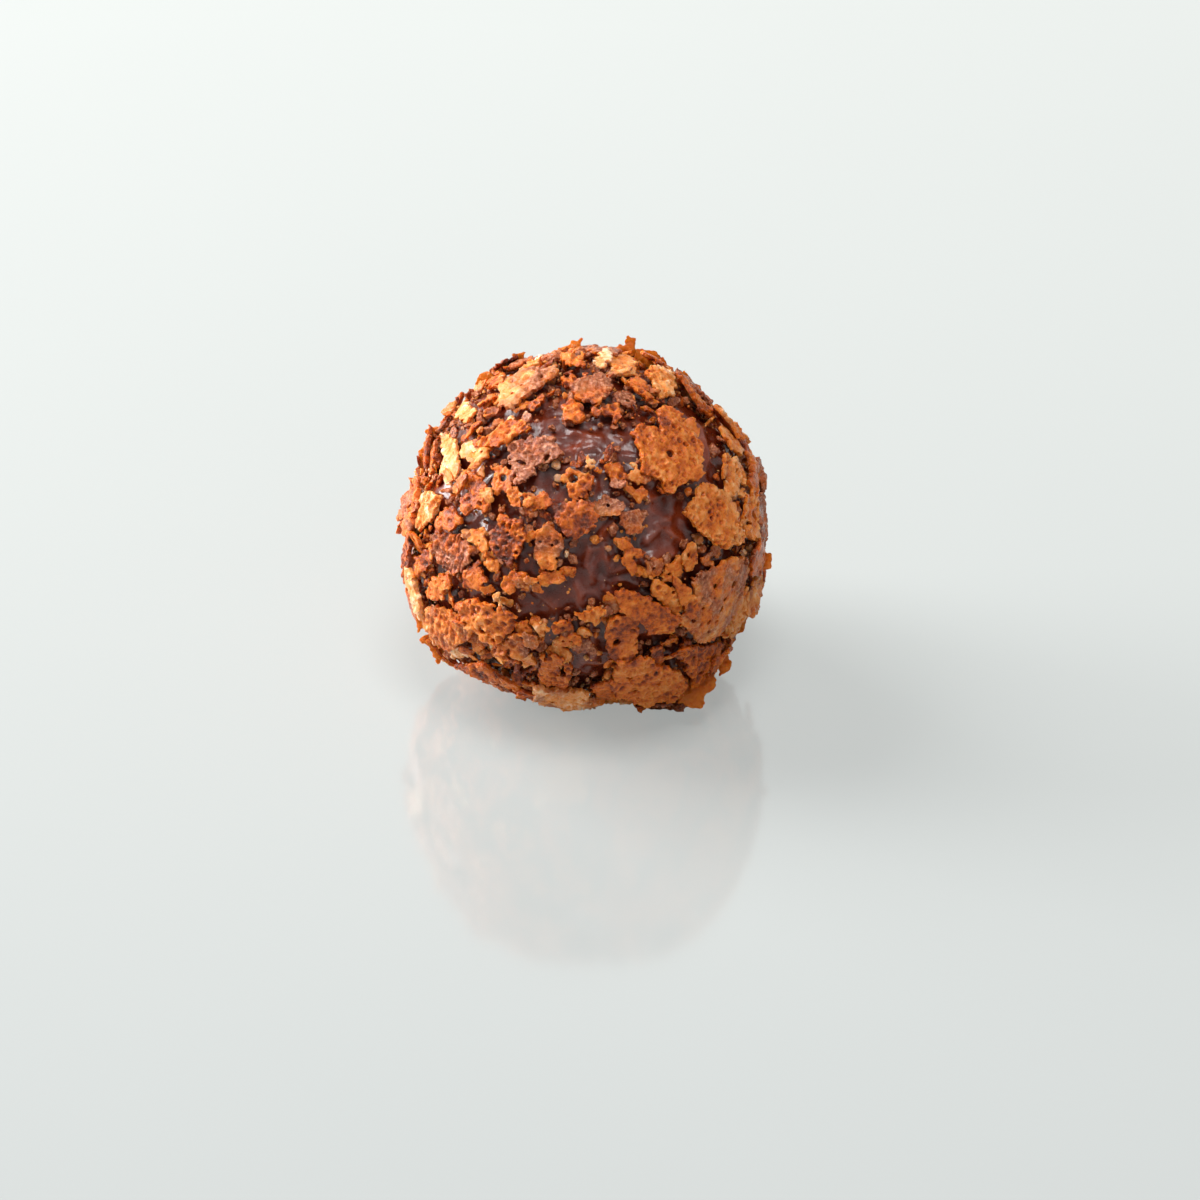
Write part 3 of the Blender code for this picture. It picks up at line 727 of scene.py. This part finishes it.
# %% Mesh from arrays
def mesh_piece(name, points, faces, numbers, material, sharp=48):
    """Makes one visible piece from points in mm, and hangs it on the truffle's body."""
    mesh = bpy.data.meshes.new(name)
    corners = faces.shape[1]
    mesh.vertices.add(len(points))
    mesh.vertices.foreach_set("co", (points * MM).astype(np.float32).ravel())
    mesh.loops.add(faces.size)
    mesh.loops.foreach_set("vertex_index", faces.astype(np.int32).ravel())
    mesh.polygons.add(len(faces))
    mesh.polygons.foreach_set("loop_start", np.arange(0, faces.size, corners, dtype=np.int32))
    mesh.update(calc_edges=True)
    mesh.validate()
    for title, values in numbers.items():
        layer = mesh.attributes.new(title, "FLOAT", "POINT")
        layer.data.foreach_set("value", values.astype(np.float32))
    mesh.shade_smooth()
    mesh.set_sharp_from_angle(angle=math.radians(sharp))
    mesh.materials.append(material)
    piece = bpy.data.objects.new(name, mesh)
    bpy.context.scene.collection.objects.link(piece)
    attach(piece, "root")
    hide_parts("truffle")
    triangles = sum(len(face.vertices) - 2 for face in mesh.polygons)
    print(name, "triangles:", triangles)
    return piece


# %% [markdown]
# ## The finish of baked wafer
#
# Wafer is matt, a little oily, and lets some light through, which is why a thin flake with light
# behind it glows orange. The colour runs from dark baked brown through gold to cream along
# `tone`, broken up by two sizes of noise. Subsurface scattering gives the glow. Chocolate smears
# come from `coat`: where it is high, the colour turns to a thin chocolate film, and the surface
# becomes smoother.

# %% Node helpers
def shade_of(red, green, blue):
    """A colour as it appears on screen, 0 to 255, turned into the linear values that shaders use."""
    return tuple(
        value / 255 / 12.92 if value <= 10 else ((value / 255 + 0.055) / 1.055) ** 2.4
        for value in (red, green, blue)
    ) + (1.0,)


class Finish:
    """A material with a few short ways to add and join its nodes."""

    def __init__(self, name):
        self.material = bpy.data.materials.new(name)
        self.material.use_nodes = True
        self.nodes = self.material.node_tree.nodes
        self.links = self.material.node_tree.links
        self.shader = self.nodes["Principled BSDF"]
        self.place = self.nodes.new("ShaderNodeTexCoord").outputs["Object"]

    def set(self, socket, value):
        """Gives a socket of the main shader a value, or joins it to another node's output."""
        if isinstance(value, (int, float, tuple)):
            self.shader.inputs[socket].default_value = value
        else:
            self.links.new(value, self.shader.inputs[socket])

    def noise(self, size_mm, detail=3.0, roughness=0.55):
        node = self.nodes.new("ShaderNodeTexNoise")
        node.inputs["Scale"].default_value = 1000 / size_mm
        node.inputs["Detail"].default_value = detail
        node.inputs["Roughness"].default_value = roughness
        self.links.new(self.place, node.inputs["Vector"])
        return node.outputs["Fac"]

    def cells(self, size_mm):
        node = self.nodes.new("ShaderNodeTexVoronoi")
        node.inputs["Scale"].default_value = 1000 / size_mm
        self.links.new(self.place, node.inputs["Vector"])
        return node.outputs["Distance"]

    def attribute(self, name):
        node = self.nodes.new("ShaderNodeAttribute")
        node.attribute_name = name
        return node.outputs["Fac"]

    def math(self, operation, first, second, third=0.0):
        node = self.nodes.new("ShaderNodeMath")
        node.operation = operation
        for socket, value in zip(node.inputs, (first, second, third)):
            if isinstance(value, (int, float)):
                socket.default_value = value
            else:
                self.links.new(value, socket)
        return node.outputs[0]

    def ramp(self, factor, stops):
        node = self.nodes.new("ShaderNodeValToRGB")
        elements = node.color_ramp.elements
        while len(elements) < len(stops):
            elements.new(0.5)
        for element, (position, colour) in zip(elements, stops):
            element.position = position
            element.color = colour
        self.links.new(factor, node.inputs["Fac"])
        return node.outputs["Color"]

    def blend(self, factor, first, second, mode="MIX"):
        node = self.nodes.new("ShaderNodeMix")
        node.data_type = "RGBA"
        node.blend_type = mode
        for index, value in ((0, factor), (6, first), (7, second)):
            socket = node.inputs[index]
            if isinstance(value, (int, float, tuple)):
                socket.default_value = value
            else:
                self.links.new(value, socket)
        return node.outputs[2]

    def let_light_through(self, share, colour):
        """Mixes in a share of light that crosses the thin sheet from behind."""
        crossing = self.nodes.new("ShaderNodeBsdfTranslucent")
        crossing.inputs["Color"].default_value = colour
        mixed = self.nodes.new("ShaderNodeMixShader")
        mixed.inputs[0].default_value = share
        self.links.new(self.shader.outputs[0], mixed.inputs[1])
        self.links.new(crossing.outputs[0], mixed.inputs[2])
        self.links.new(mixed.outputs[0], self.nodes["Material Output"].inputs["Surface"])

    def bump(self, height, distance_mm, strength=1.0, under=None):
        node = self.nodes.new("ShaderNodeBump")
        node.inputs["Strength"].default_value = strength
        node.inputs["Distance"].default_value = distance_mm * MM
        self.links.new(height, node.inputs["Height"])
        if under is not None:
            self.links.new(under, node.inputs["Normal"])
        return node.outputs["Normal"]


# %% Baked wafer
WAFER_STOPS = [
    (0.00, shade_of(56, 16, 3)), (0.20, shade_of(132, 50, 6)), (0.38, shade_of(200, 94, 14)),
    (0.56, shade_of(220, 124, 42)), (0.74, shade_of(234, 156, 90)), (0.92, shade_of(250, 206, 170)),
]
FILM_STOPS = [
    (0.28, shade_of(84, 34, 16)), (0.50, shade_of(156, 84, 50)), (0.72, shade_of(216, 152, 116)),
]


def baked_wafer(name, shift, glow, through=0.0):
    """Matt baked crust. `shift` moves its colour, `glow` lets light in, `through` right through."""
    finish = Finish(name)
    broad = finish.noise(1.6)
    fine = finish.noise(0.34, 4.0, 0.65)
    grain = finish.noise(0.11, 2.0)
    tone = finish.math("ADD", finish.attribute("tone"), shift)
    tone = finish.math("ADD", tone, finish.math("MULTIPLY_ADD", broad, 0.70, -0.37))
    tone = finish.math("ADD", tone, finish.math("MULTIPLY_ADD", fine, 0.70, -0.37))
    crust = finish.ramp(tone, WAFER_STOPS)
    film = finish.ramp(fine, FILM_STOPS)
    patches = finish.math("MULTIPLY_ADD", fine, 0.5, -0.25)
    clinging = finish.math("ADD", finish.attribute("coat"), patches)
    clinging = finish.math("MULTIPLY", finish.math("SUBTRACT", clinging, 0.25), 3.2)
    clinging = finish.math("MINIMUM", finish.math("MAXIMUM", clinging, 0.0), 0.92)
    finish.set("Base Color", finish.blend(clinging, crust, film))
    rough = finish.math("MULTIPLY_ADD", fine, 0.46, 0.08)
    rough = finish.math("SUBTRACT", rough, finish.math("MULTIPLY", clinging, 0.12))
    finish.set("Roughness", rough)
    finish.set("Subsurface Weight", glow)
    finish.set("Subsurface Radius", (1.0, 0.42, 0.16))
    finish.set("Subsurface Scale", 0.7 * MM)
    finish.set("Specular IOR Level", 0.24)
    finish.set("Coat Weight", 0.06)
    finish.set("Coat Roughness", 0.22)
    pitted = finish.bump(finish.cells(0.30), 0.07, 0.7)
    rippled = finish.bump(fine, 0.18, 0.8, pitted)
    finish.set("Normal", finish.bump(grain, 0.07, 0.8, rippled))
    if through:
        finish.let_light_through(through, shade_of(255, 196, 84))
    return finish.material


WAFER_FINISHES = {
    "golden_flakes": baked_wafer("golden_wafer", -0.03, 0.35),
    "amber_flakes": baked_wafer("amber_wafer", -0.02, 0.30),
    "pale_flakes": baked_wafer("pale_wafer", 0.02, 0.35),
    "dipped_flakes": baked_wafer("dipped_wafer", -0.02, 0.18),
    "standing_flakes": baked_wafer("standing_wafer", 0.10, 0.35, 0.45),
}
for kind, heap in heaps.items():
    finish = WAFER_FINISHES[kind.removeprefix("rear_").removeprefix("chips_of_")]
    mesh_piece(kind, np.concatenate(heap["points"]), np.concatenate(heap["faces"]),
               {"tone": np.concatenate(heap["tone"]), "coat": np.concatenate(heap["coat"])},
               finish)

# %% [markdown]
# ## The chocolate ball
#
# Under the coat is milk chocolate that set while the flakes were pressed in, so it is lumpy, with
# soft ridges, and it climbs a little round each flake. We start from an icosphere, whose points
# are spread evenly, and move each point in or out. Near a flake's edge the chocolate rises, which
# gives the wet look of something stuck in it. On the show side a few folds and drips are listed.
# One attribute carries painted light and shade into the colour: it is high on ridges, which are
# painted lighter, and low in hollows and beside flakes, which are painted dark as shaded gaps.

# %% Shape the chocolate
FOLDS = [  # ridges of the show side, as (right, up) of each end, half width and height
    (0.2, -2.3, -0.1, -3.6, 0.30, 0.34), (-0.1, -3.6, 0.5, -5.1, 0.30, 0.34),
    (1.5, -2.2, 1.9, -4.4, 0.34, 0.30), (0.2, -2.3, 1.5, -2.2, 0.24, 0.22),
    (2.3, -4.2, 4.2, -3.4, 0.40, 0.42), (1.4, -5.6, 2.0, -6.4, 0.24, 0.36),
    (2.6, -5.0, 4.4, -5.2, 0.36, 0.30), (5.2, -1.6, 6.4, -0.4, 0.34, 0.34),
    (6.4, -0.4, 8.0, -1.4, 0.36, 0.34), (5.6, -3.2, 7.4, -2.6, 0.46, 0.46),
    (4.6, 1.8, 6.2, 2.3, 0.30, 0.22), (7.2, 0.4, 6.0, -0.2, 0.26, 0.26),
    (7.9, 10.2, 9.9, 8.3, 0.34, 0.22), (9.9, 8.3, 10.6, 5.6, 0.30, 0.22),
    (-1.4, 8.0, 1.2, 7.4, 0.26, 0.24), (-2.6, 6.2, 0.4, 6.6, 0.30, 0.22),
    (-4.4, -6.0, -2.6, -7.2, 0.30, 0.22), (-1.0, -5.4, -0.4, -7.2, 0.34, 0.26),
    (0.2, -9.0, 0.5, -11.4, 0.50, 0.34), (1.1, -1.2, 2.2, 0.2, 0.26, 0.28),
]


def folds(towards):
    """Height of the listed ridges of chocolate over the ball, in mm."""
    place = np.column_stack([towards @ RIGHT, towards @ UP]) * COAT_RADIUS
    total = np.zeros(len(place))
    for x0, y0, x1, y1, half, height in FOLDS:
        start, step = np.array([x0, y0]), np.array([x1 - x0, y1 - y0])
        along = np.clip((place - start) @ step / (step @ step), 0, 1)
        away = np.linalg.norm(place - start - along[:, None] * step, axis=1)
        total = np.maximum(total, height * np.exp(-((away / half) ** 2)))
    return total * (towards @ OUT > 0)


def make_chocolate(material):
    bpy.ops.mesh.primitive_ico_sphere_add(subdivisions=7, radius=1.0)
    seed_ball = bpy.context.object
    mesh = seed_ball.data
    towards = np.empty(len(mesh.vertices) * 3)
    mesh.vertices.foreach_get("co", towards)
    towards = towards.reshape(-1, 3)
    towards /= np.linalg.norm(towards, axis=1)[:, None]
    faces = np.empty(len(mesh.polygons) * 3, int)
    mesh.polygons.foreach_get("vertices", faces)
    bpy.data.objects.remove(seed_ball, do_unlink=True)

    place = towards * CHOCOLATE_RADIUS
    height = 0.16 * drift(place, 4.5, 51.0) + 0.13 * drift(place, 1.9, 53.0)
    ridge_relief_and_shade = 1 - np.abs(drift(place, 1.5, 55.0))
    height += 0.55 * np.clip(ridge_relief_and_shade - 0.55, 0, 1) ** 1.3
    height += 0.07 * drift(place, 0.7, 57.0) + 0.04 * drift(place, 0.35, 59.0) + folds(towards)
    rise = np.zeros(len(place))
    for centre, reach, lift in footprints:
        if reach < 0.7:
            continue
        away = np.arccos(np.clip(towards @ centre, -1, 1)) * COAT_RADIUS
        rise = np.maximum(rise, (0.08 + 0.20 * lift) / (1 + np.exp((away - reach - 0.15) / 0.18)))
    # Painted shade: the colour is painted lighter where the surface is high and darker beside flakes,
    # where shade falls in the gaps.
    shade = height - 1.1 * rise
    height += rise
    points = CENTRE + towards * (CHOCOLATE_RADIUS + swelling(towards) + height)[:, None]
    points[:, 2] = np.maximum(points[:, 2], 0.03)
    return mesh_piece("milk_chocolate", points, faces.reshape(-1, 3), {"painted_chocolate_shade": shade}, material)


# %% [markdown]
# Chocolate is dark and smooth, with a satin gloss that shows the lamps as soft bluish patches, and
# fine dust of wafer on it. The gloss comes from a low roughness broken up by noise, and a thin
# coat. The colour is painted a little lighter where the surface stands up in ridges and painted
# darker in hollows and beside flakes: painted light and shade.

# %% Milk chocolate
def milk_chocolate():
    finish = Finish("milk_chocolate")
    broad = finish.noise(2.4)
    fine = finish.noise(0.45, 4.0, 0.6)
    grain = finish.noise(0.12, 2.0)
    # Painted light and shade from the shape: lighter on ridges, dark in hollows and in the gaps beside
    # flakes.
    ridge_relief_and_shade = finish.math("MULTIPLY", finish.attribute("painted_chocolate_shade"), 0.7)
    shade = finish.math("MULTIPLY_ADD", broad, 0.6, ridge_relief_and_shade)
    colour = finish.ramp(shade, [
        (0.0, shade_of(36, 8, 2)), (0.30, shade_of(90, 28, 8)), (0.60, shade_of(126, 50, 22)),
        (1.0, shade_of(158, 86, 54)),
    ])
    finish.set("Base Color", colour)
    finish.set("Roughness", finish.math("MULTIPLY_ADD", fine, 0.30, 0.14))
    finish.set("Specular IOR Level", 0.26)
    finish.set("Coat Weight", 0.30)
    finish.set("Coat Roughness", 0.12)
    finish.set("Subsurface Weight", 0.08)
    finish.set("Subsurface Radius", (1.0, 0.35, 0.2))
    finish.set("Subsurface Scale", 0.5 * MM)
    soft = finish.bump(fine, 0.10, 0.6)
    finish.set("Normal", finish.bump(grain, 0.03, 0.5, soft))
    return finish.material


make_chocolate(milk_chocolate())

# %% [markdown]
# ## Crumbs and dust
#
# Crushing wafer leaves angular crumbs down to dust. Each crumb is a small block of an icosphere
# with its points pushed about, squashed and turned at random. All crumbs of one kind share one mesh.
# They stick where chocolate shows and lie on the flakes too.

# %% Crumbs
def crumb_shape(subdivisions):
    bpy.ops.mesh.primitive_ico_sphere_add(subdivisions=subdivisions, radius=1.0)
    seed_crumb = bpy.context.object
    points = np.array([vertex.co[:] for vertex in seed_crumb.data.vertices])
    faces = np.array([face.vertices[:] for face in seed_crumb.data.polygons])
    bpy.data.objects.remove(seed_crumb, do_unlink=True)
    return points, faces


def make_crumbs(name, count, sizes, subdivisions, lifts, film, material, dice):
    shape, shape_faces = crumb_shape(subdivisions)
    points, faces, tones, coats = [], [], [], []
    size_total = 0
    while len(points) < count:
        direction = random_direction(dice)
        size = sizes[0] + (sizes[1] - sizes[0]) * dice.random() ** 2
        if kept_bare(direction, 0.0) and dice.random() < 0.8:
            continue
        stretch = dice.uniform(0.55, 1.25, 3) * size * 0.5
        rough = shape * (1 + dice.uniform(-0.25, 0.25, (len(shape), 1))) * stretch
        turn = Matrix.Rotation(dice.uniform(0, 6.28), 3, Vector(random_direction(dice)))
        turned = rough @ np.array(turn)
        lift = dice.uniform(*lifts)
        crumb = CENTRE + direction * (CHOCOLATE_RADIUS + swelling(direction[None])[0] + lift) + turned
        crumb[:, 2] = np.maximum(crumb[:, 2], 0.02)
        points.append(crumb)
        faces.append(shape_faces + size_total)
        size_total += len(shape)
        tones.append(np.full(len(shape), dice.uniform(0.3, 0.85)))
        coats.append(np.full(len(shape), dice.uniform(*film)))
    return mesh_piece(name, np.concatenate(points), np.concatenate(faces),
                      {"tone": np.concatenate(tones), "coat": np.concatenate(coats)},
                      material, sharp=25)


CRUMB_FINISH = baked_wafer("wafer_crumbs", 0.02, 0.25)
make_crumbs("dipped_crumbs", 1200, (0.45, 1.20), 2, (0.1, 0.6), (0.65, 1.0), CRUMB_FINISH, chance)
make_crumbs("coarse_crumbs", 700, (0.35, 0.95), 2, (0.3, 0.9), (0.0, 0.45), CRUMB_FINISH, chance)
make_crumbs("fine_crumbs", 2400, (0.10, 0.34), 1, (0.35, 1.1), (0.0, 0.45), CRUMB_FINISH, chance)

# %% [markdown]
# ## Table top, light and camera
#
# The sweet stands on a pale glossy sheet, which mirrors it softly. Its colour is painted a little
# darker towards the front, a painted falloff of the lamps' light. Part of its brightness is its own
# glow, seen only by the camera, which keeps the shadow light. A large soft lamp stands at the left
# and behind, and a low one beside it makes the left rim glow. An overhead light and a weak front
# one fill the rest.

# %% Table top
FLOOR_OWN_LIGHT = 0.6  # the share of the sheet's brightness that no shadow takes away


def glossy_sheet():
    finish = Finish("glossy_white_sheet")
    axes = finish.nodes.new("ShaderNodeSeparateXYZ")
    finish.links.new(finish.place, axes.inputs[0])
    # Painted light falloff: the sheet is painted darker towards the front and lighter towards the back.
    far_back = finish.math("MULTIPLY_ADD", axes.outputs["Y"], 1 / 0.22, 0.5)
    spread = finish.math("ADD", far_back, finish.math("MULTIPLY_ADD", finish.noise(60.0), 0.1, -0.05))
    colour = finish.ramp(spread, [
        (0.0, shade_of(183, 187, 186)), (1.0, shade_of(205, 209, 206)),
    ])
    seen = finish.nodes.new("ShaderNodeLightPath").outputs["Is Camera Ray"]
    shaded = finish.blend(seen, colour, finish.blend(FLOOR_OWN_LIGHT, colour, (0.0, 0.0, 0.0, 1.0)))
    finish.set("Base Color", shaded)
    finish.set("Emission Color", colour)
    own_light = finish.math("MULTIPLY", seen, FLOOR_OWN_LIGHT)
    finish.set("Emission Strength", own_light)
    finish.set("Roughness", 0.10)
    finish.set("IOR", 1.85)
    return finish.material


bpy.ops.mesh.primitive_plane_add(size=3.0, location=(0, 0, 0))
table_top = bpy.context.object
table_top.name = "table_top"
table_top.data.materials.append(glossy_sheet())

# %% [markdown]
# A lamp's bright image in a glossy sheet would draw the eye from the sweet. So each lamp is made
# twice in one place: one lights only the truffle, and its twin lights only the sheet and isn't
# mirrored by it. The air round them is bright only where it is seen or mirrored.

# %% Lamps
def soft_lamp(name, place, size, power):
    """A square soft lamp that faces the truffle. Place and size are in metres."""
    data = bpy.data.lights.new(name, "AREA")
    data.shape = "SQUARE"
    data.size = size
    data.energy = power
    facing = Vector(CENTRE * MM) - Vector(place)
    for lit, mirrored in ((lit_truffle, True), (lit_sheet, False)):
        lamp = bpy.data.objects.new(f"{name}_on_{lit.name}", data)
        lamp.location = place
        lamp.rotation_euler = facing.to_track_quat("-Z", "Y").to_euler()
        lamp.visible_glossy = mirrored
        lamp.light_linking.receiver_collection = lit
        bpy.context.scene.collection.objects.link(lamp)


lit_truffle = bpy.data.collections.new("truffle")
lit_sheet = bpy.data.collections.new("sheet")
lit_sheet.objects.link(table_top)
for thing in bpy.context.scene.objects:
    if thing.type == "MESH" and thing is not table_top:
        lit_truffle.objects.link(thing)


soft_lamp("window_light", (-0.54, 0.30, 0.50), 0.50, 8.8)
soft_lamp("rim_light", (-0.62, 0.16, 0.16), 0.26, 6.0)
soft_lamp("overhead_light", (0.05, -0.16, 0.85), 0.34, 5.0)
soft_lamp("front_light", (0.30, -0.60, 0.40), 0.60, 0.9)

world = bpy.data.worlds.new("studio_air")
bpy.context.scene.world = world
world.use_nodes = True
AIR_LIGHT = 0.08
AIR_SEEN = 0.85
air = world.node_tree.nodes["Background"]
air.inputs["Color"].default_value = (0.96, 0.98, 0.97, 1.0)
path = world.node_tree.nodes.new("ShaderNodeLightPath")
seen = world.node_tree.nodes.new("ShaderNodeMath")
seen.operation = "MAXIMUM"
world.node_tree.links.new(path.outputs["Is Camera Ray"], seen.inputs[0])
world.node_tree.links.new(path.outputs["Is Glossy Ray"], seen.inputs[1])
strength = world.node_tree.nodes.new("ShaderNodeMapRange")
strength.inputs["To Min"].default_value = AIR_LIGHT
strength.inputs["To Max"].default_value = AIR_SEEN
world.node_tree.links.new(seen.outputs[0], strength.inputs["Value"])
world.node_tree.links.new(strength.outputs["Result"], air.inputs["Strength"])

# %% [markdown]
# The camera looks at the show side from 35 degrees above the table, through a long lens, which
# keeps the ball round. Its view is 102 mm wide where the truffle stands.

# %% Camera
VIEW_WIDTH = 102.3
LENS = 200.0
SENSOR = 36.0
distance = VIEW_WIDTH * LENS / SENSOR
aim = CENTRE + 1.1 * RIGHT - 6.4 * UP
camera_data = bpy.data.cameras.new("camera")
camera_data.lens = LENS
camera_data.sensor_width = SENSOR
camera_data.clip_start = 0.01
camera_data.clip_end = 10.0
camera = bpy.data.objects.new("camera", camera_data)
camera.location = (aim + OUT * distance) * MM
camera.rotation_euler = Vector(-OUT).to_track_quat("-Z", "Y").to_euler()
bpy.context.scene.collection.objects.link(camera)
bpy.context.scene.camera = camera
bpy.context.scene.view_settings.view_transform = "Standard"
